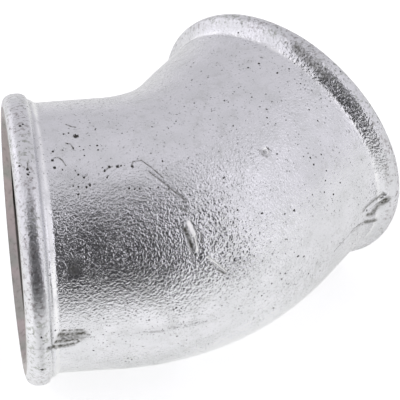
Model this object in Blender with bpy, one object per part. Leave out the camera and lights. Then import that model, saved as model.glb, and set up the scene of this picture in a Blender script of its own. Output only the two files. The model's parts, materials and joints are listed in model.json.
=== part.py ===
"""Forty-five degree pipe elbow for 2 inch pipe: one hollow iron casting with a beaded band round each mouth.

The elbow lies on its side, on its two bands and the belly of its heel. +X runs along the chord from one
mouth to the other, the throat faces +Y and the heel faces -Y.
"""

import math

import bpy
from mathutils import Vector

# Driving dimensions, in metres. A distance is along the centreline, from the nearer mouth.
FACE_TO_CENTRE = 0.043  # from a mouth to the point where the two axes meet
BEND_ANGLE = math.radians(45)
BEND_RADIUS = 0.045

# The outside: a bead at the mouth, a fine groove, a low collar, then the plain body
BODY_RADIUS = 0.0337
BEAD_RADIUS = 0.0364
BEAD_WIDTH = 0.006
BEAD_FULLNESS = 2.4  # 2 is an ellipse, more is squarer
MOUTH_FLAT_RADIUS = 0.0335  # outer edge of the machined ring face
GROOVE_RADIUS = 0.0344
COLLAR_HEIGHT = 0.0011
COLLAR_END = 0.0087
HEEL_SWELL = 0.0008  # the bend's middle stands this far out at the heel
SIDE_SWELL = 0.0007  # and this far out at each side

# The inside: a countersunk mouth, the tapped socket at its crest radius, then the cored chamber
MOUTH_RADIUS = 0.0311
COUNTERSINK_DEPTH = 0.0024
SOCKET_RADIUS = 0.02835
SOCKET_DEPTH = 0.0235
RUNOUT_DEPTH = 0.0252
CHAMBER_RADIUS = 0.0295

# How finely the form is cut into faces
RING_POINTS = 60
BEAD_POINTS = 7
COLLAR_POINTS = 4
BODY_RUNS = 3
BEND_STATIONS = 10
SHARP_ANGLE = math.radians(35)

# How the search for the resting tilt goes
STEEPEST_TILT = math.radians(20)
TILT_HALVINGS = 40

TANGENT_LENGTH = BEND_RADIUS * math.tan(BEND_ANGLE / 2)
STRAIGHT_LENGTH = FACE_TO_CENTRE - TANGENT_LENGTH
ARC_LENGTH = BEND_RADIUS * BEND_ANGLE
TOTAL_LENGTH = 2 * STRAIGHT_LENGTH + ARC_LENGTH


def smooth_step(share):
    """Eases from 0 to 1 as the share goes from 0 to 1."""
    share = min(max(share, 0.0), 1.0)
    return share * share * (3 - 2 * share)


def clear_scene():
    for obj in list(bpy.data.objects):
        bpy.data.objects.remove(obj)


def centreline(distance):
    """Point of the centreline and the direction there, from the mouth at -X on. The bend is in the XY plane."""
    half = BEND_ANGLE / 2
    if distance <= STRAIGHT_LENGTH:
        outward = Vector((-math.cos(half), math.sin(half), 0))
        return outward * (FACE_TO_CENTRE - distance), -outward
    if distance >= STRAIGHT_LENGTH + ARC_LENGTH:
        outward = Vector((math.cos(half), math.sin(half), 0))
        return outward * (FACE_TO_CENTRE - TOTAL_LENGTH + distance), outward
    angle = (distance - STRAIGHT_LENGTH) / BEND_RADIUS - half
    bend_centre = Vector((0, BEND_RADIUS / math.cos(half), 0))
    radial = Vector((math.sin(angle), -math.cos(angle), 0))
    return bend_centre + radial * BEND_RADIUS, Vector((math.cos(angle), math.sin(angle), 0))


def swell(distance):
    """How far the bend's swelling has grown: 0 at the collars and 1 in the middle."""
    nearer = min(distance, TOTAL_LENGTH - distance)
    return smooth_step((nearer - COLLAR_END) / (TOTAL_LENGTH / 2 - COLLAR_END))


def ring(distance, radius, swelling):
    """The points of one ring square to the centreline. Swelling is 1 on the outside and 0 on the inside."""
    centre, direction = centreline(distance)
    to_throat = Vector((-direction.y, direction.x, 0))
    grown = swell(distance) * swelling
    centre = centre - to_throat * HEEL_SWELL * grown
    half_height = Vector((0, 0, radius + SIDE_SWELL * grown))
    angles = [2 * math.pi * k / RING_POINTS for k in range(RING_POINTS)]
    return [centre + to_throat * (radius * math.cos(a)) + half_height * math.sin(a) for a in angles]


def bead_profile():
    """The bead's section: a machined flat at the mouth, a full round over the top, down to the groove."""
    points = [(0.0, MOUTH_FLAT_RADIUS)]
    for k in range(1, BEAD_POINTS + 1):
        across = -math.cos(math.pi * k / (BEAD_POINTS + 1))
        height = (1 - abs(across) ** BEAD_FULLNESS) ** (1 / BEAD_FULLNESS)
        foot = MOUTH_FLAT_RADIUS if across < 0 else GROOVE_RADIUS
        points.append((BEAD_WIDTH * (1 + across) / 2, foot + (BEAD_RADIUS - foot) * height))
    return points + [(BEAD_WIDTH, GROOVE_RADIUS)]


def collar_profile():
    """The low collar behind the groove, easing down to the body."""
    step = (COLLAR_END - BEAD_WIDTH) / COLLAR_POINTS
    points = []
    for k in range(1, COLLAR_POINTS + 1):
        fall = smooth_step((k - 1) / (COLLAR_POINTS - 1))
        points.append((BEAD_WIDTH + step * k, BODY_RADIUS + COLLAR_HEIGHT * (1 - fall)))
    return points


def bend_distances():
    """Stations from the start of the bend to its middle."""
    step = ARC_LENGTH / BEND_STATIONS
    return [STRAIGHT_LENGTH + step * k for k in range(BEND_STATIONS // 2 + 1)]


def mirrored(half_profile):
    """A profile from one mouth to the middle of the bend, carried on to the other mouth."""
    far_half = [(TOTAL_LENGTH - distance, radius) for distance, radius in half_profile[:-1]]
    return half_profile + far_half[::-1]


def outer_profile():
    run = (STRAIGHT_LENGTH - COLLAR_END) / BODY_RUNS
    distances = [COLLAR_END + run * k for k in range(1, BODY_RUNS)] + bend_distances()
    return mirrored(bead_profile() + collar_profile() + [(d, BODY_RADIUS) for d in distances])


def inner_profile():
    socket = [
        (0.0, MOUTH_RADIUS),
        (COUNTERSINK_DEPTH, SOCKET_RADIUS),
        (SOCKET_DEPTH, SOCKET_RADIUS),
        (RUNOUT_DEPTH, CHAMBER_RADIUS),
    ]
    chamber = [(d, CHAMBER_RADIUS) for d in bend_distances() if d > RUNOUT_DEPTH]
    return mirrored(socket + chamber)


def casting_mesh():
    """One closed skin: along the outside from mouth to mouth, and back along the inside."""
    rings = [ring(distance, radius, 1) for distance, radius in outer_profile()]
    rings += [ring(distance, radius, 0) for distance, radius in reversed(inner_profile())]
    faces = []
    for i in range(len(rings)):
        here = i * RING_POINTS
        beyond = (i + 1) % len(rings) * RING_POINTS
        for k in range(RING_POINTS):
            after = (k + 1) % RING_POINTS
            faces.append((here + k, here + after, beyond + after, beyond + k))
    mesh = bpy.data.meshes.new("elbow_casting")
    mesh.from_pydata([point for one_ring in rings for point in one_ring], [], faces)
    mesh.shade_smooth()
    mesh.set_sharp_from_angle(angle=SHARP_ANGLE)
    return mesh


def height_when_tilted(point, tilt):
    """Height of a point once the casting is turned about the chord, throat up."""
    return point.y * math.sin(tilt) + point.z * math.cos(tilt)


def resting_tilt(points):
    """The tilt at which the belly of the heel comes down to the surface that the two bands stand on."""
    bands = [p for p in points if abs(p.x) > TANGENT_LENGTH]
    belly = [p for p in points if abs(p.x) <= TANGENT_LENGTH]
    level = 0.0
    steep = STEEPEST_TILT
    for _ in range(TILT_HALVINGS):
        middle = (level + steep) / 2
        lowest_band = min(height_when_tilted(p, middle) for p in bands)
        lowest_belly = min(height_when_tilted(p, middle) for p in belly)
        if lowest_belly > lowest_band:
            level = middle
        else:
            steep = middle
    return steep


def lay_down(casting):
    """Turns the casting to its resting tilt, sets it on height 0 and centres it over the origin."""
    points = [vertex.co for vertex in casting.data.vertices]
    tilt = resting_tilt(points)
    casting.rotation_euler = (tilt, 0, 0)
    heights = [height_when_tilted(p, tilt) for p in points]
    depths = [p.y * math.cos(tilt) - p.z * math.sin(tilt) for p in points]
    casting.location = (0, -(min(depths) + max(depths)) / 2, -min(heights))


def galvanised_iron():
    """Hot-dip zinc on cast iron: pale blue-grey, between satin and bright."""
    material = bpy.data.materials.new("galvanised_iron")
    material.use_nodes = True
    shader = material.node_tree.nodes["Principled BSDF"]
    shader.inputs["Base Color"].default_value = (0.62, 0.63, 0.65, 1)
    shader.inputs["Metallic"].default_value = 0.9
    shader.inputs["Roughness"].default_value = 0.35
    return material


def make_elbow():
    casting = bpy.data.objects.new("elbow_casting", casting_mesh())
    casting.data.materials.append(galvanised_iron())
    bpy.context.scene.collection.objects.link(casting)
    lay_down(casting)


clear_scene()
make_elbow()
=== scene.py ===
import json
import math

import bmesh
import bpy
import numpy as np
from mathutils import Euler, Matrix, Vector, noise
from mathutils.bvhtree import BVHTree


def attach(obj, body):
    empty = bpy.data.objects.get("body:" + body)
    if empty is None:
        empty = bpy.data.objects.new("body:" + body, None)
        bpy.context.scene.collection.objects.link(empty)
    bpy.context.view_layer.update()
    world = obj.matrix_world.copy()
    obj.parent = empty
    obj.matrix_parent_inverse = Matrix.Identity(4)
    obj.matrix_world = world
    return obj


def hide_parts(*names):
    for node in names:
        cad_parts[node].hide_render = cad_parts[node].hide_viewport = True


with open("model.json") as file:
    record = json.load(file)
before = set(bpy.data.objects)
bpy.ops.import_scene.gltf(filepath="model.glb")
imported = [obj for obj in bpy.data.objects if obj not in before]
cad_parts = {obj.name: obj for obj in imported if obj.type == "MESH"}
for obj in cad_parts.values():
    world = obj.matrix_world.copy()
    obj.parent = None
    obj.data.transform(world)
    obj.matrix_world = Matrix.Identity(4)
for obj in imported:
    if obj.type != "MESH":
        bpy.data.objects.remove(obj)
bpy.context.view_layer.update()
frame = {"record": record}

MM = 0.001
DEGREES = 180 / math.pi

# The casting's driving dimensions, in metres, as its solid has them. A distance is along the
# centreline, from the nearer mouth, and an angle is round a ring, from the throat.
FACE_TO_CENTRE = 0.043  # from a mouth to the point where the two axes meet
BEND_ANGLE = math.radians(45)
BEND_RADIUS = 0.045
BODY_RADIUS = 0.0337
BEAD_RADIUS = 0.0364
MOUTH_FLAT_RADIUS = 0.0335
HEEL_SWELL = 0.0008
SIDE_SWELL = 0.0007
MOUTH_RADIUS = 0.0311
SOCKET_RADIUS = 0.02835
SOCKET_DEPTH = 0.0235
RUNOUT_DEPTH = 0.0252
CHAMBER_RADIUS = 0.0295
MOUNT_ANGLE = math.radians(84)  # where the record's mount point lies on the left ring face
TANGENT_LENGTH = BEND_RADIUS * math.tan(BEND_ANGLE / 2)
STRAIGHT_LENGTH = FACE_TO_CENTRE - TANGENT_LENGTH
ARC_LENGTH = BEND_RADIUS * BEND_ANGLE
TOTAL_LENGTH = 2 * STRAIGHT_LENGTH + ARC_LENGTH

# The bands' finer form, in metres: the bead's crown and end, the left shoulder, the right flank,
# how far the corners are rounded, and where the groove, the fillets and the rim lie
BEAD_CROWN = 0.0034
BEAD_END = 0.0061
BEAD_FULLNESS = 2.4
BEAD_FOOT_RADIUS = 0.03467
SHOULDER_RADIUS = 0.03472
SHOULDER_START = 0.0065
SHOULDER_END = 0.0084
FLANK_END = 0.0076
BODY_START = 0.0088
SOFTENING = 0.0003
SOFTENING_SAMPLES = 9
GROOVE = 0.0063
GROOVE_HALF_WIDTH = 0.00025
LEFT_FILLET = 0.0075
RIGHT_FILLET = 0.0072
FILLET_HALF_WIDTH = 0.00045
RIM_WIDTH = 0.0007

# The pipe thread: 11 turns an inch, rounded at crest and root, behind a turned countersink
THREAD_PITCH = 0.0254 / 11
THREAD_ROOT_RADIUS = 0.02981
THREAD_START = 0.0020

# How finely the skin is cut
SEAM_HALF_ANGLE = math.radians(2.2)
SEAM_STEPS = 12
SIDE_STEPS = 150
BEAD_ROWS = 22
SHOULDER_ROWS = 12
BODY_ROWS = 50
ROWS_A_TURN = 6
CHAMBER_ROWS = 7
CUTS_AT_A_MARK = 3
SHARP_ANGLE = math.radians(40)

# How far round a mark the skin is cut finer: in radii of a pit, in half widths of a line, and a
# margin added to either
PIT_REACH = 1.5
LINE_REACH = 1.6
MARK_MARGIN = 0.25 * MM

# A pit's raised rim: its place and spread in radii, and its height as a share of the depth
PIT_RIM_PLACE = 1.5
PIT_RIM_SPREAD = 0.4
PIT_RIM_HEIGHT = 0.3

# The cast skin's long waves and its orange peel, with waves to a metre and height in mm, and the
# factor on each of the two in the chamber
LONG_WAVES = ((48, 0.11), (120, 0.05))
ORANGE_PEEL = ((420, 0.026), (800, 0.026))
CHAMBER_SCALE = 0.8
CHAMBER_RISE = 2.5

# The trimmed mould seam, in mm: how far from its plane it may show, how far it wanders, and its
# width and rise with the change in each
SEAM_REACH = 1.3
SEAM_WANDER = 0.10
SEAM_WIDTH = 0.26
SEAM_WIDTH_CHANGE = 0.10
SEAM_RISE = 0.10
SEAM_RISE_CHANGE = 0.14

# How dark scratches and file grooves are, how dark the painted shade in the left band's groove and
# the stain on the right mouth's rim are, and how much less the zinc crinkles on the left band and
# under the painted highlights
SCRATCH_DARKNESS = 0.97
# painted shade in the left band's groove
GROOVE_SHADE = 0.22
RIM_STAIN = 0.45
LESS_ON_LEFT_BAND = 0.62
LESS_WHERE_HIGHLIGHTED = 0.8

# Over how much length the relief comes in behind a mouth and in the chamber, and the finish of
# a band or bead goes out
MOUTH_EASING = 0.8 * MM
CHAMBER_EASING = 2 * MM
BAND_EASING = 1.5 * MM

# The camera: where the photograph was taken from, relative to the point where the two axes
# meet, in the casting's own directions (chord, throat, side). Its distances are in band radii.
IMAGE_SIDE = 400
SENSOR = 36.0
CAMERA_RIGHT = Vector((0.8645, -0.5024, 0.0138))
CAMERA_BACK = Vector((-0.3540, -0.5892, 0.7263))
CAMERA_DISTANCE = 21.505
CAMERA_SIDEWAYS = 0.1016
CAMERA_RAISED = 0.1750
PIXELS_PER_BAND = 145.72  # how long a band radius is in the photograph, at that distance
PIXEL_STEP = 3.0  # between the points at which a line is laid on the skin
NEAREST_SEEN = 0.05
FURTHEST_SEEN = 20

# How the studio stands round the table. Its own Z points to its dim side, its own Y to the ceiling.
STUDIO_TURN = (math.radians(51.3), math.radians(3.8), math.radians(-30.0))

# The studio's level by height, in two eases: from and to which height in degrees, and the level
# before and after
LEVEL_UPWARDS = (25, 65, 0.84, 0.74)
LEVEL_DOWNWARDS = (-15, -55, 1.0, 1.26)

# The studio's parts, each with how much brighter or darker than the rest it is, as a share, and
# how it comes in: by which angle in degrees, where it is nothing and where it is full. Left and
# right are the photograph's. Sideways goes from the middle of the dim side to the right, height
# goes up, slant and lean are sideways along a slant, and foot is height with a rise to the right.
# Ahead is a cosine, 1 in the middle of the dim side and -1 opposite.
STUDIO_PARTS = {
    "back": (-0.09, (("ahead", 0.2, -0.45), ("height", 20, 50))),
    "strip_beside_the_dim_side": (
        0.39,
        (("slant", 26, 34), ("slant", 66, 46), ("height", -42, -18), ("height", 50, 10)),
    ),
    "left_wall": (
        0.24,
        (
            ("sideways", -20, -45),
            ("sideways", -140, -100),
            ("height", 45, 25),
            ("height", -60, -30),
        ),
    ),
    "window": (
        0.40,
        (("sideways", -60, -85), ("sideways", -148, -128), ("height", 20, 32), ("height", 62, 46)),
    ),
    "right_wall": (0.11, (("sideways", 70, 100), ("sideways", 155, 120), ("height", 10, -12))),
    "dim_side": (
        -0.93,
        (("lean", -26, -13), ("slant", 31, 21), ("height", 60, 2), ("foot", -62, -39)),
    ),
}
SLANT = 0.7  # how far a degree down moves the dim side's right edge to the right
LEAN = 0.35  # how far a degree up moves its left edge to the right
FOOT_START = 12.0  # how far to the right its foot begins to rise
FOOT_RISE = 0.3  # how far a degree to the right raises it from there

# The studio's colour, then the table: half its side in metres, its colour, the share of the
# studio's level that a reflection sees in it, and how much it glows in reflections and in view
STUDIO_COLOUR = (0.988, 0.972, 1.016, 1)
TABLE_HALF_SIDE = 3.0
TABLE_COLOUR = (0.9, 0.9, 0.9, 1)
TABLE_SHARE = 0.82
GLOW_IN_REFLECTIONS = 0.62
GLOW_IN_VIEW = 0.55
GLOW_COLOUR = (0.99, 1.0, 0.96, 1)
WHITE = (1, 1, 1, 1)
BLACK = (0, 0, 0, 1)

# The zinc's colours: two that it varies between, dull smears, the beads' two tints, a painted
# highlight in the fillets, stains with painted shade, pits and specks, and painted highlights on
# drip, scar and crater rim
ZINC_PALE = (0.80, 0.80, 0.83, 1)
ZINC_GREYER = (0.74, 0.745, 0.765, 1)
ZINC_SMEARED = (0.60, 0.605, 0.605, 1)
BEAD_WARMER = (0.46, 0.44, 0.45, 1)
BEAD_GREENER = (0.46, 0.475, 0.45, 1)
# painted highlight: a lighter zinc along the fillet at each band's foot
ZINC_FILLET_HIGHLIGHT = (0.98, 0.98, 0.99, 1)
# stains, and painted shade where the same layer carries it
ZINC_STAIN_AND_SHADE = (0.10, 0.097, 0.078, 1)
ZINC_PITTED = (0.045, 0.042, 0.038, 1)
# painted highlight: a lighter zinc on the drip, the scar and the crater's rim
ZINC_HIGHLIGHT = (0.98, 0.98, 0.97, 1)

# The turned iron's colours, then the chamber's
IRON_BROWN = (0.38, 0.33, 0.325, 1)
IRON_GREY = (0.31, 0.305, 0.285, 1)
IRON_WORN = (0.16, 0.14, 0.13, 1)
# painted shade, nearly black, in the thread past the countersink
THREAD_SHADE = (0.06, 0.055, 0.05, 1)
CHAMBER_PALE = (0.50, 0.50, 0.51, 1)
CHAMBER_DARK = (0.30, 0.295, 0.28, 1)
TOOL_MARKS = 0.42 * MM  # from one ring of the turning tool to the next

# Pits in the zinc, by where the photograph shows them, in pixels, with radius and depth in mm
PITS = {
    "big_pit_on_top": (76.0, 135.6, 0.74, 0.18),
    "its_left_neighbour": (68.7, 132.8, 0.27, 0.06),
    "its_far_left_neighbour": (63.6, 133.8, 0.29, 0.07),
    "over_the_dash": (79.5, 121.5, 0.20, 0.05),
    "beside_the_hook": (79.5, 146.2, 0.22, 0.05),
    "left_of_the_hook": (63.0, 150.0, 0.22, 0.05),
    "under_the_lone_pit": (84.4, 155.4, 0.24, 0.05),
    "pair_left": (89.9, 145.3, 0.21, 0.05),
    "pair_right": (97.2, 145.3, 0.28, 0.06),
    "under_the_curl": (62.4, 169.5, 0.28, 0.06),
    "over_the_chain_start": (75.0, 170.7, 0.22, 0.05),
    "left_of_the_low_two": (73.3, 186.0, 0.25, 0.06),
    "nearer_the_low_two": (78.3, 186.8, 0.28, 0.06),
    "its_lower_neighbour": (67.5, 143.5, 0.26, 0.06),
    "lower_still": (73.2, 148.0, 0.29, 0.07),
    "lone_pit_above_the_chain": (83.6, 149.4, 0.26, 0.07),
    "high_lone_pit": (95.2, 129.6, 0.23, 0.06),
    "collar_pit_high": (53.0, 151.6, 0.34, 0.08),
    "collar_pit_middle": (52.6, 160.2, 0.42, 0.10),
    "collar_pit_low": (54.5, 167.7, 0.42, 0.10),
    "chain_start": (78.3, 174.6, 0.31, 0.08),
    "chain_first": (84.0, 177.4, 0.31, 0.08),
    "under_the_chain": (90.0, 185.0, 0.39, 0.10),
    "beside_it": (86.6, 187.3, 0.34, 0.09),
    "chain_middle": (104.4, 170.7, 0.34, 0.08),
    "chain_next": (109.5, 166.9, 0.36, 0.09),
    "chain_wide": (117.5, 166.5, 0.47, 0.10),
    "chain_wide_end": (121.0, 165.6, 0.29, 0.08),
    "chain_end": (132.5, 166.3, 0.42, 0.11),
    "short_of_the_chain": (107.3, 177.4, 0.31, 0.08),
    "low_single": (78.3, 194.0, 0.36, 0.10),
    "ring_left": (129.3, 188.6, 0.34, 0.10),
    "ring_middle": (134.6, 189.2, 0.26, 0.08),
    "ring_right": (139.6, 188.6, 0.29, 0.08),
    "ring_far_right": (150.0, 188.6, 0.27, 0.07),
    "upper_right_single": (223.7, 177.7, 0.30, 0.08),
    "high_right_dash": (237.6, 210.0, 0.29, 0.07),
    "right_of_the_scar": (234.5, 260.5, 0.36, 0.10),
    "right_face_high": (318.0, 120.7, 0.25, 0.07),
    "right_face_higher": (309.3, 109.7, 0.23, 0.06),
    "middle_face_low": (285.0, 213.8, 0.27, 0.07),
    "high_on_the_body": (152.0, 126.5, 0.26, 0.06),
    "beside_the_scratch": (158.0, 187.6, 0.29, 0.07),
    "bead_pit_high": (20.2, 126.0, 0.40, 0.08),
    "bead_pit_high_right": (23.0, 124.2, 0.36, 0.07),
    "bead_pit_middle": (27.5, 169.3, 0.40, 0.08),
    "bead_pit_low": (27.9, 174.4, 0.38, 0.07),
    "bead_pit_left": (19.3, 166.0, 0.34, 0.06),
    "foot_of_the_bead": (41.5, 337.5, 0.34, 0.08),
    "bottom_of_the_bead": (42.5, 369.5, 0.52, 0.10),
    "bend_pit_tail": (277.0, 154.0, 0.29, 0.08),
    "right_face_first": (310.5, 157.8, 0.29, 0.08),
    "right_face_second": (314.0, 164.6, 0.31, 0.08),
    "right_face_third": (321.4, 154.4, 0.29, 0.08),
    "right_face_fourth": (326.5, 170.8, 0.26, 0.07),
    "right_face_fifth": (340.5, 182.7, 0.26, 0.07),
    "right_face_low": (333.8, 194.4, 0.31, 0.08),
    "middle_face": (294.4, 210.3, 0.39, 0.10),
    "middle_face_left": (262.0, 213.4, 0.36, 0.09),
    "shoulder_single": (277.4, 72.8, 0.34, 0.08),
    "shoulder_dash": (259.0, 63.6, 0.36, 0.08),
    "low_on_the_bend": (308.5, 273.8, 0.31, 0.07),
    "low_on_the_bend_right": (311.0, 276.4, 0.26, 0.07),
    "heel_mark": (298.0, 256.2, 0.34, 0.06),
    "heel_dash": (303.8, 256.4, 0.31, 0.06),
    "heel_left": (262.0, 295.8, 0.31, 0.07),
    "underside_single": (93.3, 350.5, 0.31, 0.08),
    "underside_second": (149.0, 320.0, 0.29, 0.07),
}

# Fine lines, each from point to point in the photograph, with half width and depth in mm
SCRATCHES = {
    "long_scratch": (((149.0, 171.5), (165.0, 184.0), (186.6, 201.5)), 0.20, 0.07),
    "upper_scratch": (((141.0, 160.0), (152.0, 168.0), (163.3, 178.0)), 0.15, 0.05),
    "top_of_the_chain": (((131.5, 166.0), (133.0, 161.5), (141.0, 160.5)), 0.15, 0.05),
    "chain_stroke": (((104.0, 171.5), (108.0, 168.0), (112.0, 166.5)), 0.17, 0.05),
    "chain_second_stroke": (((84.0, 178.0), (87.5, 174.5)), 0.17, 0.05),
    "short_scratch": (((180.8, 207.4), (189.7, 213.8)), 0.18, 0.06),
    "by_the_band": (((54.0, 158.0), (58.5, 157.5), (62.0, 160.0), (66.0, 165.5)), 0.17, 0.05),
    "hook_on_top": (((65.5, 143.0), (70.5, 143.8), (72.7, 147.4), (74.0, 150.0)), 0.15, 0.04),
    "dash_on_top": (((66.0, 124.2), (71.0, 126.2), (75.5, 127.0)), 0.20, 0.05),
    "down_the_bead": (((27.8, 163.5), (27.5, 168.5)), 0.18, 0.04),
    "side_crack": (((219.5, 270.4), (224.4, 273.4)), 0.26, 0.12),
    "side_of_the_drip": (((201.0, 232.5), (201.2, 242.5)), 0.24, 0.09),
    # painted shadow beside the drip, drawn as a shallow line
    "painted_shadow_left_of_the_drip": (((185.2, 229.0), (188.2, 237.5), (192.0, 247.0)), 0.60, 0.16),
    "notch_below": (((375.2, 220.4), (369.0, 221.8), (364.5, 222.4)), 0.55, 0.14),
    "notch_tail": (((362.5, 222.6), (354.0, 228.4), (348.8, 235.0)), 0.15, 0.06),
    "notch_tail_end": (((348.8, 235.0), (341.0, 244.0), (334.5, 251.0)), 0.11, 0.04),
}

# File grooves where the gate was dressed off, beside the left band
FILE_GROOVES = {
    "first": (((63.0, 330.6), (66.0, 330.5)), 0.40, 0.04),
    "first_again": (((69.5, 330.4), (71.5, 330.3)), 0.36, 0.03),
    "first_end": (((76.0, 330.2), (82.0, 330.0)), 0.40, 0.04),
    "second": (((60.0, 335.2), (70.0, 334.4), (83.5, 333.4)), 0.92, 0.12),
    "third": (((56.5, 341.8), (66.0, 340.6), (76.5, 339.2)), 0.72, 0.12),
    "fourth": (((52.5, 347.4), (64.0, 345.8), (73.5, 344.0)), 0.74, 0.12),
    "stub": (((49.0, 348.2), (52.0, 347.6)), 0.62, 0.16),
    "end": (((77.5, 339.6), (79.0, 341.4), (76.0, 343.6)), 0.34, 0.06),
    "last_touch": (((88.0, 334.6), (89.0, 334.8)), 0.36, 0.06),
}

# Shallow hollows with a rim, placed as the pits are, with radius and depth in mm
HOLLOWS = {
    "crater_on_the_bend": (266.0, 151.0, 1.05, 0.26),
    "round_spot": (73.4, 269.8, 1.60, 0.07),
}

# Proud places, drawn as the scratches are: drips, scars and flash, with half width and height
# in mm
RIDGES = {
    "drip_head": (((186.6, 223.0), (189.0, 228.6), (191.2, 234.0)), 0.80, 0.52),
    "drip_tail": (((191.8, 234.0), (194.4, 241.0), (196.0, 250.0)), 0.42, 0.30),
    "scar": (((207.0, 256.5), (214.0, 262.5), (225.5, 272.0)), 0.50, 0.16),
    "scar_above": (((223.0, 236.0), (228.0, 245.0), (233.0, 254.0)), 0.50, 0.08),
    "flash_edge": (((385.0, 196.0), (376.0, 202.0), (369.0, 208.0), (366.0, 212.5)), 0.55, 0.34),
}

# Soft dark patches, each a spot or a line, with half width in mm and how dark they are
SMUDGES = {
    "round_spot": (((73.4, 269.8),), 1.50, 0.92),
    "round_spot_halo": (((75.0, 267.0),), 3.2, 0.34),
    "file_marks": (((63.0, 338.5), (78.0, 336.0)), 2.0, 0.66),
    "crater_shade": (((260.8, 150.5), (262.4, 154.6), (266.5, 156.8)), 0.38, 0.55),
    # painted shade inside the crater
    "painted_shade_in_the_crater": (((264.6, 151.4),), 0.66, 0.85),
    # painted dark reflection at the start of the right band's arc
    "painted_reflection_at_the_start_of_the_arc": (((295.0, 47.0), (303.5, 55.0), (315.0, 66.0), (326.0, 78.0)), 1.20, 0.66),
    # painted shadow under the scar
    "painted_shadow_under_the_scar": (((208.0, 262.5), (216.0, 268.5), (222.5, 273.0)), 0.26, 0.35),
    "flash_foot": (((367.0, 214.8), (370.5, 214.6), (374.0, 213.8)), 0.55, 0.97),
    "flash_band": (((386.0, 199.5), (378.5, 204.5), (371.5, 213.0)), 1.10, 0.97),
    "flash_low": (((377.0, 205.5), (374.0, 212.5)), 0.75, 0.85),
    # painted shadow on the flash stub's upper left side
    "painted_shadow_beside_the_flash": (((383.5, 193.8), (374.5, 199.6), (366.5, 206.5), (363.5, 211.0)), 0.50, 0.75),
    "notch_band": (((375.0, 220.6), (364.5, 222.0)), 0.60, 0.95),
    "notch_tail_band": (((362.5, 223.0), (352.0, 232.0)), 0.45, 0.35),
    # painted shadow at the drip's foot
    "painted_shadow_at_the_drip_foot": (((192.8, 249.0),), 0.6, 0.7),
    "mottle_by_the_band": (((70.0, 175.0), (84.0, 178.0)), 2.4, 0.14),
    "mottle_under_the_chain": (((90.0, 187.0), (140.0, 189.0)), 1.6, 0.14),
    "seam_first_dash": (((150.8, 332.0), (164.2, 331.4)), 0.40, 0.45),
    "seam_second_dash": (((168.5, 327.6), (175.5, 327.2)), 0.40, 0.40),
    "seam_stain": (((120.0, 334.0), (205.0, 322.0)), 1.2, 0.10),
    "under_the_left_bead": (((41.0, 330.0), (42.5, 372.0)), 0.7, 0.25),
}

# Painted highlights, where the zinc is painted lighter and crinkles less: on the drip, a scar and a
# crater's rim, with half width in mm
PAINTED_HIGHLIGHTS = {
    "head": (((189.0, 223.2), (191.6, 228.6), (193.9, 233.8)), 0.72),
    "tail": (((193.8, 234.5), (196.0, 241.0), (197.2, 250.5)), 0.33),
    # painted highlight along the scar
    "scar": (((207.5, 257.0), (216.0, 263.0), (226.0, 271.5)), 0.27),
    # painted highlight on the crater's rim
    "crater_rim": (((263.6, 149.4), (266.0, 147.6), (268.6, 149.8), (268.4, 153.2)), 0.22),
}

# Where the zinc crinkles less or more, each a spot or a line, with half width in mm and how
# strong the crinkle is there, 1 being as elsewhere
CRINKLE_PLACES = {
    "under_the_right_band": (((205.0, 60.0), (250.0, 72.0)), 9.0, 0.50),
    "bead_top": (((20.0, 110.0), (32.0, 170.0)), 5.0, 0.6),
    "upper_left": (((60.0, 115.0), (170.0, 105.0)), 8.0, 0.70),
    "right_face": (((330.0, 130.0), (345.0, 200.0)), 14.0, 0.85),
    "round_spot": (((73.4, 269.8),), 2.2, 0.5),
    "right_of_the_drip": (((206.0, 212.0), (234.0, 260.0)), 6.5, 2.5),
    "right_flank": (((322.0, 72.0), (350.0, 108.0), (372.0, 150.0)), 2.8, 1.45),
    "top_flank": (((290.0, 47.0), (306.0, 57.0), (318.0, 69.0)), 2.6, 2.2),
    "heel": (((190.0, 300.0), (285.0, 270.0)), 9.0, 1.6),
}


def smooth_step(share):
    share = np.clip(share, 0.0, 1.0)
    return share * share * (3 - 2 * share)


def placing():
    """The casting's own frame in the world, from the left end face that the record states."""
    mount = next(m for m in frame["record"]["mounts"] if m["name"] == "left_end_face")
    tilt = math.atan2(mount["axis"][2], mount["axis"][1])
    turn = Matrix.Rotation(tilt, 4, "X")
    outward = Vector((-math.cos(BEND_ANGLE / 2), math.sin(BEND_ANGLE / 2), 0))
    to_throat = Vector((math.sin(BEND_ANGLE / 2), math.cos(BEND_ANGLE / 2), 0))
    to_mount = to_throat * math.cos(MOUNT_ANGLE) + Vector((0, 0, math.sin(MOUNT_ANGLE)))
    local = outward * FACE_TO_CENTRE + to_mount * (MOUTH_RADIUS + MOUTH_FLAT_RADIUS) / 2
    return Matrix.Translation(Vector(mount["pos_m"]) - turn.to_3x3() @ local) @ turn


def camera_place():
    """The camera's axes and position in the casting's own frame."""
    right = CAMERA_RIGHT.normalized()
    back = (CAMERA_BACK - right * CAMERA_BACK.dot(right)).normalized()
    up = back.cross(right)
    place = (right * CAMERA_SIDEWAYS + up * CAMERA_RAISED + back * CAMERA_DISTANCE) * BEAD_RADIUS
    return Matrix.Translation(place) @ Matrix((right, up, back)).transposed().to_4x4()


TO_WORLD = placing()
CAMERA_PLACE = camera_place()


def make_camera():
    data = bpy.data.cameras.new("camera")
    data.sensor_width = SENSOR
    data.lens = SENSOR * PIXELS_PER_BAND * CAMERA_DISTANCE / IMAGE_SIDE
    data.clip_start = NEAREST_SEEN
    data.clip_end = FURTHEST_SEEN
    camera = bpy.data.objects.new("camera", data)
    camera.matrix_world = TO_WORLD @ CAMERA_PLACE
    bpy.context.scene.collection.objects.link(camera)
    bpy.context.scene.camera = camera


def ring_angles():
    """Angles round a ring, from the throat. They lie closer where the mould halves met."""
    seam = np.linspace(-SEAM_HALF_ANGLE, SEAM_HALF_ANGLE, SEAM_STEPS, endpoint=False)
    side = np.linspace(SEAM_HALF_ANGLE, math.pi - SEAM_HALF_ANGLE, SIDE_STEPS, endpoint=False)
    half = np.concatenate([seam, side])
    return np.concatenate([half, half + math.pi])


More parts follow.
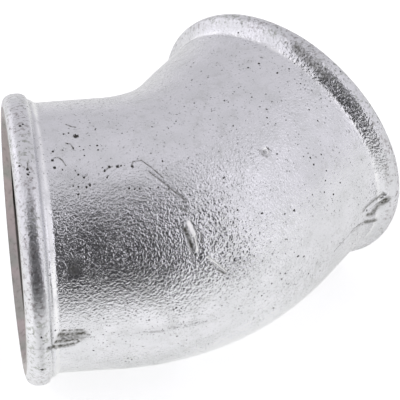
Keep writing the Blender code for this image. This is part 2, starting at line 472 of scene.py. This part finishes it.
def centreline(distance):
    """Points of the centreline and the directions there, from the mouth at -X on."""
    half = BEND_ANGLE / 2
    zero = np.zeros_like(distance)
    first = np.array([-math.cos(half), math.sin(half), 0])
    last = np.array([math.cos(half), math.sin(half), 0])
    angle = (distance - STRAIGHT_LENGTH) / BEND_RADIUS - half
    bend_centre = np.array([0, BEND_RADIUS / math.cos(half), 0])
    radial = np.stack([np.sin(angle), -np.cos(angle), zero], -1)
    along = np.stack([np.cos(angle), np.sin(angle), zero], -1)
    early = (distance <= STRAIGHT_LENGTH)[..., None]
    late = (distance >= STRAIGHT_LENGTH + ARC_LENGTH)[..., None]
    start = first * (FACE_TO_CENTRE - distance)[..., None]
    end = last * (FACE_TO_CENTRE - TOTAL_LENGTH + distance)[..., None]
    point = np.where(early, start, np.where(late, end, bend_centre + radial * BEND_RADIUS))
    return point, np.where(early, -first, np.where(late, last, along))


def swept(distance, angle, radius, swelling):
    """Points at these distances, angles and radii, all arrays of one shape."""
    centre, along = centreline(distance)
    to_throat = np.stack([-along[..., 1], along[..., 0], np.zeros_like(distance)], -1)
    nearer = np.minimum(distance, TOTAL_LENGTH - distance)
    share = (nearer - SHOULDER_END) / (TOTAL_LENGTH / 2 - SHOULDER_END)
    grown = (smooth_step(share) * swelling)[..., None]
    across = to_throat * (radius * np.cos(angle))[..., None]
    half_height = radius[..., None] + SIDE_SWELL * grown
    side = np.array([0, 0, 1.0]) * half_height * np.sin(angle)[..., None]
    return centre - to_throat * HEEL_SWELL * grown + across + side


def bead_radius(distance):
    """The bead's round: a slow rise from the ring face to the crown, a quicker fall behind it."""
    before = distance < BEAD_CROWN
    reach = np.where(before, BEAD_CROWN, BEAD_END - BEAD_CROWN)
    across = np.clip(np.abs(distance - BEAD_CROWN) / reach, 0, 1)
    foot = np.where(before, MOUTH_FLAT_RADIUS, BEAD_FOOT_RADIUS)
    round_over = (1 - across**BEAD_FULLNESS) ** (1 / BEAD_FULLNESS)
    return foot + (BEAD_RADIUS - foot) * round_over


def shouldered_band(distance):
    """The left band: bead, fine groove, then a shoulder that falls to the body."""
    rise = smooth_step((distance - BEAD_END) / (SHOULDER_START - BEAD_END))
    fall = smooth_step((distance - SHOULDER_START) / (SHOULDER_END - SHOULDER_START))
    groove_side = BEAD_FOOT_RADIUS + (SHOULDER_RADIUS - BEAD_FOOT_RADIUS) * rise
    shoulder = groove_side + (BODY_RADIUS - SHOULDER_RADIUS) * fall
    return np.where(distance < BEAD_END, bead_radius(distance), shoulder)


def plain_band(distance):
    """The right band: from the crown one flank runs down to the body."""
    share = (distance - BEAD_CROWN) / (FLANK_END - BEAD_CROWN)
    flank = BEAD_RADIUS + (BODY_RADIUS - BEAD_RADIUS) * smooth_step(share)
    return np.where(distance < BEAD_CROWN, bead_radius(distance), flank)


def softened(band, distance):
    """The band's profile with its corners rounded by the zinc, apart from the ring face's edge."""
    reach = np.clip(distance - BEAD_CROWN, 0, SOFTENING)
    shifts = np.linspace(-1, 1, SOFTENING_SAMPLES)
    return np.mean([band(distance + reach * shift) for shift in shifts], axis=0)


def outer_rows():
    """Distance and radius of each ring of the outside, from mouth to mouth."""
    quarter = np.linspace(0, math.pi / 2, BEAD_ROWS // 2, endpoint=False)
    rise = BEAD_CROWN * (1 - np.cos(quarter * 2)) / 2
    fall = BEAD_CROWN + (BEAD_END - BEAD_CROWN) * np.sin(quarter)
    shoulder = np.linspace(BEAD_END, BODY_START, SHOULDER_ROWS, endpoint=False)
    body = np.linspace(BODY_START, TOTAL_LENGTH / 2, BODY_ROWS)
    half = np.concatenate([rise, fall, shoulder, body])
    left = np.stack([half, softened(shouldered_band, half)], 1)
    right = np.stack([TOTAL_LENGTH - half, softened(plain_band, half)], 1)
    return np.concatenate([left, right[-2::-1]])


def inner_distances():
    """Distance of each ring of the inside, from mouth to mouth."""
    step = THREAD_PITCH / ROWS_A_TURN
    socket = list(np.arange(0.0, RUNOUT_DEPTH - step / 2, step))
    chamber = np.linspace(RUNOUT_DEPTH, TOTAL_LENGTH / 2, CHAMBER_ROWS + 1)
    half = np.array(socket + list(chamber))
    return np.concatenate([half, TOTAL_LENGTH - half[-2::-1]])


def inner_radius(distance, angle):
    """Countersink, right-handed thread, run-out and chamber."""
    nearer = np.minimum(distance, TOTAL_LENGTH - distance)
    hand = np.where(distance < TOTAL_LENGTH / 2, -1.0, 1.0)
    turns = nearer / THREAD_PITCH + hand * angle / (2 * math.pi)
    middle = (THREAD_ROOT_RADIUS + SOCKET_RADIUS) / 2
    depth = (THREAD_ROOT_RADIUS - SOCKET_RADIUS) / 2
    thread = middle + depth * np.cos(2 * math.pi * turns)
    cone = MOUTH_RADIUS + (THREAD_ROOT_RADIUS - MOUTH_RADIUS) * nearer / THREAD_START
    begun = nearer > THREAD_START - THREAD_PITCH / ROWS_A_TURN / 2
    cut = np.where(begun, thread, cone)
    past_start = nearer - SOCKET_DEPTH + THREAD_PITCH
    runout = smooth_step(past_start / (RUNOUT_DEPTH - SOCKET_DEPTH + THREAD_PITCH))
    return cut * (1 - runout) + CHAMBER_RADIUS * runout


def ring_faces(starts, counts):
    """Faces between each ring and the next, closed round from the last to the first. A ring may
    have half as many points as its neighbour."""
    faces = []
    for i, (here, many) in enumerate(zip(starts, counts)):
        j = (i + 1) % len(starts)
        beyond, others = starts[j], counts[j]
        if many == others:
            for k in range(many):
                after = (k + 1) % many
                faces.append((here + k, here + after, beyond + after, beyond + k))
        elif many > others:
            for k in range(others):
                a, b, c = here + 2 * k, here + 2 * k + 1, here + (2 * k + 2) % many
                d, e = beyond + k, beyond + (k + 1) % others
                faces += [(a, b, d), (b, e, d), (b, c, e)]
        else:
            for k in range(many):
                a, b, c = beyond + 2 * k, beyond + 2 * k + 1, beyond + (2 * k + 2) % others
                d, e = here + k, here + (k + 1) % many
                faces += [(d, b, a), (d, e, b), (e, c, b)]
    return faces


def plain_skin():
    """The casting before its relief, as a bmesh in its own frame. Layers of the points keep
    whether each is outside, and its distance from the nearer mouth."""
    angles = ring_angles()
    rows = outer_rows()
    distance, angle = np.meshgrid(rows[:, 0], angles, indexing="ij")
    outer = swept(distance, angle, np.repeat(rows[:, 1:], len(angles), 1), 1.0)
    inner_s, inner_a = np.meshgrid(inner_distances()[::-1], angles[::4], indexing="ij")
    inner = swept(inner_s, inner_a, inner_radius(inner_s, inner_a), 0.0)
    face_s, face_a = np.meshgrid(np.array([0.0, TOTAL_LENGTH]), angles[::2], indexing="ij")
    face = swept(face_s, face_a, np.full_like(face_s, (MOUTH_RADIUS + MOUTH_FLAT_RADIUS) / 2), 0.0)
    parts = [outer.reshape(-1, 3), face[1], inner.reshape(-1, 3), face[0]]
    points = np.concatenate(parts)
    half_way = [len(angles) // 2]
    counts = [len(angles)] * len(rows) + half_way + [len(angles) // 4] * len(inner_s) + half_way
    starts = [sum(counts[:i]) for i in range(len(counts))]
    mesh = bpy.data.meshes.new("galvanised_elbow")
    mesh.from_pydata(points.tolist(), [], ring_faces(starts, counts))
    others = len(points) - distance.size
    outside = mesh.attributes.new("outside", "FLOAT", "POINT")
    outside.data.foreach_set("value", np.repeat([1.0, 0.0], [distance.size, others]))
    nearer = np.concatenate([distance.ravel(), face_s[1], inner_s.ravel(), face_s[0]])
    along = mesh.attributes.new("along", "FLOAT", "POINT")
    along.data.foreach_set("value", np.minimum(nearer, TOTAL_LENGTH - nearer))
    return mesh


def skin_finder(mesh):
    """A function from a pixel of the photograph to the point of the casting seen there."""
    points = [v.co.copy() for v in mesh.vertices]
    tree = BVHTree.FromPolygons(points, [tuple(p.vertices) for p in mesh.polygons])
    eye = CAMERA_PLACE.translation
    focal = PIXELS_PER_BAND * CAMERA_DISTANCE

    def on_skin(x, y):
        ray = Vector((x - IMAGE_SIDE / 2, IMAGE_SIDE / 2 - y, -focal))
        hit = tree.ray_cast(eye, (CAMERA_PLACE.to_3x3() @ ray).normalized())[0]
        if hit is None:
            raise ValueError(f"no skin at pixel {x}, {y}")
        return np.array(hit)

    return on_skin


def with_steps(pixels):
    """A line's pixels with others in between, so that it keeps to the curve of the skin."""
    stepped = []
    for (x0, y0), (x1, y1) in zip(pixels[:-1], pixels[1:]):
        count = math.ceil(math.hypot(x1 - x0, y1 - y0) / PIXEL_STEP)
        stepped += [(x0 + (x1 - x0) * k / count, y0 + (y1 - y0) * k / count) for k in range(count)]
    return stepped + [pixels[-1]]


def lines_on_skin(table, on_skin):
    """The table's lines as points on the skin, with half width in metres, then its other values."""
    found = []
    for pixels, half_width, *others in table.values():
        line = np.array([on_skin(*pixel) for pixel in with_steps(pixels)])
        found.append((line, half_width * MM, *others))
    return found


def distance_to_line(points, line):
    """How far each point is from a line of several points."""
    nearest = np.linalg.norm(points - line[0], axis=1)
    for start, end in zip(line[:-1], line[1:]):
        span = end - start
        share = np.clip((points - start) @ span / (span @ span), 0, 1)
        away = np.linalg.norm(points - start - share[:, None] * span, axis=1)
        nearest = np.minimum(nearest, away)
    return nearest


class Marks:
    """Every named mark, as relief, dark core, soft stains with painted shade, and finish at any
    points of the skin.
    """

    def __init__(self, on_skin):
        self.spots = [(on_skin(x, y), r * MM, d * MM) for x, y, r, d in PITS.values()]
        self.smudges = lines_on_skin(SMUDGES, on_skin)
        self.highlight_lines = lines_on_skin(PAINTED_HIGHLIGHTS, on_skin)
        self.crinkle_places = lines_on_skin(CRINKLE_PLACES, on_skin)
        self.hollows = [(on_skin(x, y), r * MM, d * MM) for x, y, r, d in HOLLOWS.values()]
        self.scratches = lines_on_skin(SCRATCHES, on_skin)
        self.grooves = lines_on_skin(FILE_GROOVES, on_skin)
        self.ridges = lines_on_skin(RIDGES, on_skin)

    def near(self, points):
        """Which points lie close enough to a mark to need a finer mesh."""
        close = np.zeros(len(points), bool)
        for centre, radius, _ in self.spots + self.hollows:
            close |= np.linalg.norm(points - centre, axis=1) < radius * PIT_REACH + MARK_MARGIN
        for line, half_width, _ in self.scratches + self.grooves + self.ridges:
            close |= distance_to_line(points, line) < half_width * LINE_REACH + MARK_MARGIN
        return close

    def relief(self, points):
        """Height, core, and stains with painted shade at each point. The core is 1 inside a mark
        and 0 at its edge.
        """
        height = np.zeros(len(points))
        core = np.full(len(points), -1.0)
        stain_and_shade = np.zeros(len(points))
        for centre, radius, depth in self.spots + self.hollows:
            away = np.linalg.norm(points - centre, axis=1) / radius
            rim = np.exp(-(((away - PIT_RIM_PLACE) / PIT_RIM_SPREAD) ** 2))
            height += depth * (PIT_RIM_HEIGHT * rim - np.exp(-(away**2)))
        for centre, radius, _ in self.spots:
            core = np.maximum(core, 1 - np.linalg.norm(points - centre, axis=1) / radius)
        # dark scratches and file grooves; the line beside the drip among them is painted shadow
        for line, half_width, depth in self.scratches + self.grooves:
            away = distance_to_line(points, line) / half_width
            height -= depth * MM * np.exp(-(away**2))
            stain_and_shade = np.maximum(stain_and_shade, SCRATCH_DARKNESS * np.exp(-(away**2.5)))
        for line, half_width, rise in self.ridges:
            away = distance_to_line(points, line) / half_width
            height += rise * MM * np.exp(-(away**2))
        # soft dark patches: stains, and painted shade or shadow where the table says so
        for line, half_width, dark in self.smudges:
            away = distance_to_line(points, line) / half_width
            stain_and_shade = np.maximum(stain_and_shade, dark * np.exp(-(away**3)))
        return height, core, stain_and_shade

    def finish(self, points):
        """How much painted highlight and how much crinkle the zinc has at each point."""
        white = np.zeros(len(points))
        for line, half_width in self.highlight_lines:
            white = np.maximum(white, np.exp(-((distance_to_line(points, line) / half_width) ** 4)))
        crinkled = np.ones(len(points))
        for line, half_width, strength in self.crinkle_places:
            away = distance_to_line(points, line) / half_width
            crinkled *= 1 + (strength - 1) * np.exp(-(away**4))
        return white, crinkled


def refine(mesh, marks):
    """Cuts the skin's faces finer round the marks."""
    work = bmesh.new()
    work.from_mesh(mesh)
    outside = work.verts.layers.float["outside"]
    points = np.array([v.co for v in work.verts])
    close = marks.near(points) & (np.array([v[outside] for v in work.verts]) > 0.5)
    faces = [face for face in work.faces if any(close[v.index] for v in face.verts)]
    edges = list({edge for face in faces for edge in face.edges})
    bmesh.ops.subdivide_edges(work, edges=edges, cuts=CUTS_AT_A_MARK, use_grid_fill=True)
    bmesh.ops.triangulate(work, faces=[f for f in work.faces if len(f.verts) > 4])
    work.to_mesh(mesh)
    work.free()


def seam_height(points):
    """The trimmed flash where the mould halves met: a low line in the plane of the bend."""
    heights = np.zeros(len(points))
    for i in np.nonzero(np.abs(points[:, 2]) < SEAM_REACH * MM)[0]:
        spot = Vector(points[i])
        wander = noise.noise(spot * 140) * SEAM_WANDER * MM
        width = (SEAM_WIDTH + SEAM_WIDTH_CHANGE * noise.noise(spot * 320)) * MM
        change = SEAM_RISE_CHANGE * noise.noise(spot * 110 + Vector((7, 0, 0)))
        rise = max(0.0, SEAM_RISE + change) * MM
        heights[i] = rise * math.exp(-(((points[i, 2] - wander) / width) ** 2))
    return heights


def wave_height(spot, waves):
    return sum(noise.noise(spot * to_a_metre) * height for to_a_metre, height in waves)


def cast_relief(points):
    """The unevenness of a sand casting under its zinc: long waves, then an orange peel."""
    heights = np.empty(len(points))
    for i, point in enumerate(points):
        spot = Vector(point)
        heights[i] = wave_height(spot, LONG_WAVES) + wave_height(spot, ORANGE_PEEL)
    return heights * MM


def read_all(collection, name, size):
    values = np.empty(size)
    collection.foreach_get(name, values)
    return values


def give_relief(mesh, marks):
    """Moves each point of the skin along its normal and keeps the layers for the materials."""
    count = len(mesh.vertices)
    points = read_all(mesh.vertices, "co", count * 3).reshape(-1, 3)
    normals = read_all(mesh.vertex_normals, "vector", count * 3).reshape(-1, 3)
    outside = read_all(mesh.attributes["outside"].data, "value", count)
    along = read_all(mesh.attributes["along"].data, "value", count)
    marked, core, stain_and_shade = marks.relief(points)
    free_of_mouth = smooth_step(along / MOUTH_EASING)
    skin = cast_relief(points) * free_of_mouth + seam_height(points) * free_of_mouth + marked
    rough = cast_relief(points * CHAMBER_SCALE) * CHAMBER_RISE
    chamber = smooth_step((along - SOCKET_DEPTH) / CHAMBER_EASING) * rough
    height = np.where(outside > 0.5, skin, chamber)
    mesh.vertices.foreach_set("co", (points + normals * height[:, None]).ravel())
    white, crinkled = marks.finish(points)
    at_left = points[:, 0] < 0
    on_left_band = smooth_step((BODY_START - along) / BAND_EASING) * at_left
    in_groove = np.exp(-(((along - GROOVE) / GROOVE_HALF_WIDTH) ** 2)) * at_left
    on_right_rim = np.exp(-((along / RIM_WIDTH) ** 2)) * (points[:, 0] > 0)
    # painted shade in the left band's groove
    stain_and_shade = np.maximum(stain_and_shade, GROOVE_SHADE * in_groove)
    stain_and_shade = np.maximum(stain_and_shade, RIM_STAIN * on_right_rim)
    fillet = np.where(at_left, LEFT_FILLET, RIGHT_FILLET)
    in_fillet = np.exp(-(((along - fillet) / FILLET_HALF_WIDTH) ** 2))
    on_bead = smooth_step((BEAD_END - along) / BAND_EASING)
    less = (1 - LESS_ON_LEFT_BAND * on_left_band) * (1 - LESS_WHERE_HIGHLIGHTED * white)
    layers = {
        "core": np.where(outside > 0.5, core, -1.0),
        # stains and painted shade
        "stain_and_shade": stain_and_shade * (outside > 0.5),
        # painted highlight on the drip, the scar and the crater's rim
        "white": white * (outside > 0.5),
        "crinkled": crinkled * less,
        "grime": on_bead * (outside > 0.5),
        # painted highlight along the fillet at each band's foot
        "fillet_highlight": in_fillet * (outside > 0.5),
    }
    for name, values in layers.items():
        mesh.attributes.new(name, "FLOAT", "POINT").data.foreach_set("value", values)


def give_materials(mesh, materials):
    """Zinc outside, bare turned iron in the sockets and on the ring faces, dull zinc beyond."""
    outside = mesh.attributes["outside"].data
    along = mesh.attributes["along"].data
    for material in materials:
        mesh.materials.append(material)
    for face in mesh.polygons:
        if all(outside[i].value > 0.5 for i in face.vertices):
            face.material_index = 0
        elif min(along[i].value for i in face.vertices) < RUNOUT_DEPTH - THREAD_PITCH / 2:
            face.material_index = 1
        else:
            face.material_index = 2


def build_casting():
    mesh = plain_skin()
    marks = Marks(skin_finder(mesh))
    refine(mesh, marks)
    give_relief(mesh, marks)
    give_materials(mesh, [zinc(), machined_iron(), chamber_zinc()])
    mesh.transform(TO_WORLD)
    mesh.shade_smooth()
    mesh.set_sharp_from_angle(angle=SHARP_ANGLE)
    elbow = bpy.data.objects.new("galvanised_elbow", mesh)
    bpy.context.scene.collection.objects.link(elbow)
    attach(elbow, "root")
    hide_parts("elbow_casting")


class Nodes:
    """Short forms for building a node tree."""

    def __init__(self, tree):
        self.tree = tree

    def add(self, kind, links=None, **settings):
        node = self.tree.nodes.new(kind)
        for key, value in settings.items():
            setattr(node, key, value)
        for socket, value in (links or {}).items():
            self.give(node.inputs[socket], value)
        return node

    def give(self, socket, value):
        """Links the socket to another node's output, or sets it to a plain value."""
        if isinstance(value, bpy.types.NodeSocket):
            self.tree.links.new(value, socket)
        else:
            socket.default_value = value

    def place(self):
        """The point in the object's own frame."""
        return self.add("ShaderNodeTexCoord").outputs["Object"]

    def layer(self, name):
        """A value that the mesh keeps at its points."""
        return self.add("ShaderNodeAttribute", attribute_name=name).outputs["Fac"]

    def math(self, operation, *values):
        links = dict(enumerate(values))
        return self.add("ShaderNodeMath", links, operation=operation).outputs[0]

    def plus(self, first, second):
        return self.math("ADD", first, second)

    def minus(self, first, second):
        return self.math("SUBTRACT", first, second)

    def times(self, first, *others):
        for other in others:
            first = self.math("MULTIPLY", first, other)
        return first

    def larger(self, first, second):
        return self.math("MAXIMUM", first, second)

    def smaller(self, first, second):
        return self.math("MINIMUM", first, second)

    def fade(self, value, start, end, low=0.0, high=1.0):
        """Eases from low to high as the value goes from start to end."""
        links = {"Value": value, "From Min": start, "From Max": end, "To Min": low, "To Max": high}
        return self.add("ShaderNodeMapRange", links, interpolation_type="SMOOTHSTEP").outputs[0]

    def noise(self, place, scale, detail=0.0, roughness=0.5):
        """Noise with this many waves to a metre."""
        links = {"Vector": place, "Scale": scale, "Detail": detail, "Roughness": roughness}
        return self.add("ShaderNodeTexNoise", links).outputs["Fac"]

    def bump(self, distance, height):
        links = {"Strength": 1.0, "Distance": distance, "Height": height}
        return self.add("ShaderNodeBump", links).outputs["Normal"]

    def dots(self, place, size, radius, share):
        """Round dots, one at most to a cell of this size, in this share of the cells."""
        links = {"Vector": place, "Scale": 1 / size}
        cells = self.add("ShaderNodeTexVoronoi", links, feature="F1")
        chosen = self.add("ShaderNodeSeparateColor", {"Color": cells.outputs["Color"]})
        there = self.math("LESS_THAN", chosen.outputs["Red"], share)
        reach = self.fade(chosen.outputs["Green"], 0.0, 1.0, 0.5 * radius / size, radius / size)
        inside = self.math("DIVIDE", cells.outputs["Distance"], reach)
        return self.times(self.fade(inside, 1.0, 0.6), there)

    def vector(self, operation, links):
        return self.add("ShaderNodeVectorMath", links, operation=operation).outputs[0]

    def warped(self, place, scale, reach):
        """The place moved about by noise, so that what is drawn there gets an uneven edge."""
        drift = self.add("ShaderNodeTexNoise", {"Vector": place, "Scale": scale}).outputs["Color"]
        centred = self.vector("SUBTRACT", {0: drift, 1: (0.5, 0.5, 0.5)})
        moved = self.vector("SCALE", {0: centred, "Scale": reach * 2})
        return self.vector("ADD", {0: place, 1: moved})

    def mix(self, share, first, second, kind="RGBA"):
        links = {"Factor": share, "A": first, "B": second}
        node = self.add("ShaderNodeMix", data_type=kind)
        for socket in node.inputs:
            if socket.enabled and socket.name in links:
                self.give(socket, links[socket.name])
        return next(s for s in node.outputs if s.enabled)


def new_material(name):
    material = bpy.data.materials.new(name)
    material.use_nodes = True
    nodes = Nodes(material.node_tree)
    return material, nodes, material.node_tree.nodes["Principled BSDF"]


def set_inputs(nodes, shader, **values):
    for key, value in values.items():
        nodes.give(shader.inputs[key.replace("_", " ")], value)


def zinc_dirt(nodes, place, crowd, grime):
    """Specks of dross and dust: how dark they are, and how deep they lie."""
    specks = nodes.dots(nodes.warped(place, 2600.0, 0.22 * MM), 1.5 * MM, 0.34 * MM, 0.65)
    crowded = nodes.plus(crowd, nodes.times(grime, 0.07))
    specks = nodes.times(specks, nodes.fade(crowded, 0.42, 0.55))
    faint = nodes.dots(nodes.warped(place, 3200.0, 0.16 * MM), 0.90 * MM, 0.29 * MM, 0.6)
    strength = nodes.fade(nodes.noise(place, 130.0, 1.0), 0.38, 0.60, 0.16, 0.58)
    specks = nodes.larger(specks, nodes.times(faint, strength))
    dust = nodes.fade(nodes.noise(place, 1900.0, 2.0), 0.64, 0.74)
    dust = nodes.times(dust, nodes.fade(nodes.noise(place, 210.0, 1.0), 0.40, 0.62, 0.15, 0.62))
    opaque = nodes.fade(nodes.noise(place, 330.0), 0.38, 0.62, 0.35, 0.95)
    dark = nodes.larger(nodes.times(specks, opaque), dust)
    return dark, nodes.plus(nodes.times(specks, 0.05), nodes.times(dust, 0.04))


def clean_zinc(nodes, place, crowd, patches, grime):
    """The zinc's colour from pale to dull, with the beads' tints and a painted highlight along the
    fillets.
    """
    colour = nodes.mix(nodes.fade(patches, 0.3, 0.7), ZINC_PALE, ZINC_GREYER)
    smears = nodes.fade(nodes.noise(place, 430.0, 3.0, 0.6), 0.52, 0.70, 0.0, 0.42)
    colour = nodes.mix(smears, colour, ZINC_SMEARED)
    mottle = nodes.fade(nodes.noise(place, 950.0, 2.5, 0.6), 0.48, 0.68)
    tint = nodes.mix(nodes.fade(crowd, 0.42, 0.58), BEAD_WARMER, BEAD_GREENER)
    colour = nodes.mix(nodes.times(mottle, grime), colour, tint)
    broken = nodes.fade(nodes.noise(place, 260.0, 1.0), 0.36, 0.60, 0.15, 0.9)
    # painted highlight: a lighter, broken line along the fillets
    return nodes.mix(nodes.times(nodes.layer("fillet_highlight"), broken), colour, ZINC_FILLET_HIGHLIGHT)


def zinc_height(nodes, place, hollow):
    """The crinkled skin, in mm. Where it is strong, its fine crinkle grows no further and coarser
    worms join it."""
    crinkled = nodes.layer("crinkled")
    crinkle = nodes.noise(place, 1600.0, 1.5, 0.55)
    strength = nodes.fade(nodes.noise(place, 70.0, 1.0), 0.35, 0.65, 0.18, 0.27)
    grain = nodes.times(nodes.noise(place, 3100.0, 1.0), 0.04)
    height = nodes.plus(nodes.times(crinkle, strength), grain)
    height = nodes.times(height, nodes.smaller(crinkled, 1.3))
    over = nodes.larger(nodes.minus(crinkled, 1.0), 0.0)
    worms = nodes.times(nodes.noise(place, 1050.0, 1.0), nodes.times(over, 0.42))
    return nodes.minus(nodes.plus(height, worms), hollow)


def zinc():
    """Hot-dip zinc on a sand casting: a crinkled bright skin with specks of dross and pits, stains
    with painted shade, and painted highlights.
    """
    material, nodes, shader = new_material("hot_dip_zinc")
    place = nodes.place()
    grime = nodes.layer("grime")
    white = nodes.layer("white")
    crowd = nodes.noise(place, 85.0, 2.0)
    patches = nodes.noise(place, 160.0, 2.0)
    uneven = nodes.fade(nodes.noise(place, 1500.0, 1.0), 0.35, 0.62, 1.0, 0.55)
    stain_and_shade = nodes.times(nodes.layer("stain_and_shade"), uneven)
    ragged = nodes.times(nodes.minus(nodes.noise(place, 3600.0), 0.5), 1.1)
    pits = nodes.fade(nodes.plus(nodes.layer("core"), ragged), -0.08, 0.32)
    dirt, hollow = zinc_dirt(nodes, place, crowd, grime)
    dark = nodes.larger(pits, dirt)
    colour = clean_zinc(nodes, place, crowd, patches, grime)
    # stains, and painted shade in the left band's groove, beside the drip, under the scar and
    # flash, in the crater and on the right band's arc
    colour = nodes.mix(stain_and_shade, colour, ZINC_STAIN_AND_SHADE)
    colour = nodes.mix(dark, colour, ZINC_PITTED)
    roughness = nodes.fade(patches, 0.3, 0.7, 0.15, 0.23)
    roughness = nodes.plus(roughness, nodes.times(grime, 0.12))
    roughness = nodes.plus(roughness, nodes.times(nodes.larger(dark, stain_and_shade), 0.35))
    set_inputs(
        nodes,
        shader,
        # painted highlight where the layer white is set
        Base_Color=nodes.mix(white, colour, ZINC_HIGHLIGHT),
        Metallic=nodes.minus(1.0, nodes.times(dark, 0.5)),
        Roughness=nodes.plus(roughness, nodes.times(white, 0.12)),
        Normal=nodes.bump(MM, zinc_height(nodes, place, hollow)),
    )
    return material


def machined_iron():
    """Iron turned bright after galvanising: fine tool marks round the bore, a thin film of oil, and
    painted shade, nearly black, in the thread past the countersink.
    """
    material, nodes, shader = new_material("machined_iron")
    place = nodes.place()
    along = nodes.layer("along")
    tone = nodes.noise(place, 190.0, 2.0)
    fine = nodes.noise(place, 900.0, 2.0)
    colour = nodes.mix(nodes.fade(tone, 0.35, 0.65), IRON_BROWN, IRON_GREY)
    colour = nodes.mix(nodes.fade(fine, 0.55, 0.75, 0.0, 0.4), colour, IRON_WORN)
    in_thread = nodes.fade(along, THREAD_START - 0.1 * MM, THREAD_START + 0.1 * MM)
    rings = nodes.math("SINE", nodes.times(along, 2 * math.pi / TOOL_MARKS))
    height = nodes.plus(nodes.times(rings, 0.008), nodes.times(fine, 0.02))
    set_inputs(
        nodes,
        shader,
        # painted shade in the thread past the countersink
        Base_Color=nodes.mix(in_thread, colour, THREAD_SHADE),
        Metallic=0.9,
        Roughness=nodes.fade(fine, 0.3, 0.7, 0.30, 0.45),
        Normal=nodes.bump(MM, height),
    )
    return material


def chamber_zinc():
    """The cored inside: zinc that ran dull over rough sand-cast iron."""
    material, nodes, shader = new_material("chamber_zinc")
    coarse = nodes.noise(nodes.place(), 350.0, 4.0, 0.6)
    set_inputs(
        nodes,
        shader,
        Base_Color=nodes.mix(nodes.fade(coarse, 0.35, 0.65), CHAMBER_PALE, CHAMBER_DARK),
        Metallic=0.85,
        Roughness=nodes.fade(coarse, 0.3, 0.7, 0.42, 0.6),
        Normal=nodes.bump(0.4 * MM, coarse),
    )
    return material


def studio(nodes, direction):
    """How bright the white studio is in a direction. It has one dim side with a bright strip at its
    right, a bright wall with a window at the left, a fair wall at the right, a dimmer back and
    ceiling, and a bright table."""
    turn = Euler(STUDIO_TURN).to_matrix()

    def against(axis):
        links = {0: direction, 1: turn.col[axis]}
        return nodes.add("ShaderNodeVectorMath", links, operation="DOT_PRODUCT").outputs["Value"]

    ahead = against(2)
    sideways = nodes.times(nodes.math("ARCTAN2", against(0), ahead), DEGREES)
    height = nodes.times(nodes.math("ARCSINE", against(1)), DEGREES)
    beyond = nodes.larger(nodes.minus(sideways, FOOT_START), 0.0)
    angles = {
        "ahead": ahead,
        "sideways": sideways,
        "height": height,
        "slant": nodes.plus(sideways, nodes.times(nodes.smaller(height, 0.0), SLANT)),
        "lean": nodes.minus(sideways, nodes.times(height, LEAN)),
        "foot": nodes.minus(height, nodes.times(beyond, FOOT_RISE)),
    }
    level = nodes.times(nodes.fade(height, *LEVEL_UPWARDS), nodes.fade(height, *LEVEL_DOWNWARDS))
    for amount, fades in STUDIO_PARTS.values():
        shares = [nodes.fade(angles[name], nothing, full) for name, nothing, full in fades]
        level = nodes.times(level, nodes.plus(1.0, nodes.times(*shares, amount)))
    return level


def make_world():
    """The studio as light and in reflections. Seen directly, it is white."""
    world = bpy.data.worlds.new("studio")
    bpy.context.scene.world = world
    world.use_nodes = True
    world.node_tree.nodes.clear()
    nodes = Nodes(world.node_tree)
    direction = nodes.add("ShaderNodeTexCoord").outputs["Generated"]
    in_view = nodes.add("ShaderNodeLightPath").outputs["Is Camera Ray"]
    level = nodes.mix(in_view, studio(nodes, direction), 1.0, "FLOAT")
    colour = nodes.mix(in_view, STUDIO_COLOUR, WHITE)
    background = nodes.add("ShaderNodeBackground", {"Color": colour, "Strength": level})
    nodes.add("ShaderNodeOutputWorld", {"Surface": background.outputs[0]})


def make_floor():
    """A pale table, white where the camera sees it, that keeps the shadow. A reflection sees the
    studio's own level in it, so that the dim side goes on over it."""
    side = TABLE_HALF_SIDE
    mesh = bpy.data.meshes.new("floor")
    corners = [(-side, -side, 0), (side, -side, 0), (side, side, 0), (-side, side, 0)]
    mesh.from_pydata(corners, [], [(0, 1, 2, 3)])
    floor = bpy.data.objects.new("floor", mesh)
    bpy.context.scene.collection.objects.link(floor)
    material = bpy.data.materials.new("floor")
    material.use_nodes = True
    material.node_tree.nodes.clear()
    nodes = Nodes(material.node_tree)
    from_object = nodes.vector("SUBTRACT", {0: nodes.place(), 1: (0, 0, BODY_RADIUS)})
    direction = nodes.vector("NORMALIZE", {0: from_object})
    path = nodes.add("ShaderNodeLightPath")
    mirrored = path.outputs["Is Glossy Ray"]
    lit = nodes.times(studio(nodes, direction), TABLE_SHARE)
    colour = nodes.mix(mirrored, TABLE_COLOUR, nodes.mix(lit, BLACK, TABLE_COLOUR))
    diffuse = nodes.add("ShaderNodeBsdfDiffuse", {"Color": colour})
    in_mirror = nodes.times(mirrored, lit, GLOW_IN_REFLECTIONS)
    in_view = nodes.times(path.outputs["Is Camera Ray"], GLOW_IN_VIEW)
    strength = nodes.plus(in_mirror, in_view)
    tint = nodes.mix(mirrored, WHITE, GLOW_COLOUR)
    glow = nodes.add("ShaderNodeEmission", {"Color": tint, "Strength": strength})
    both = nodes.add("ShaderNodeAddShader", {0: diffuse.outputs[0], 1: glow.outputs[0]})
    nodes.add("ShaderNodeOutputMaterial", {"Surface": both.outputs[0]})
    mesh.materials.append(material)


make_camera()
make_world()
make_floor()
build_casting()
bpy.context.scene.view_settings.view_transform = "Standard"
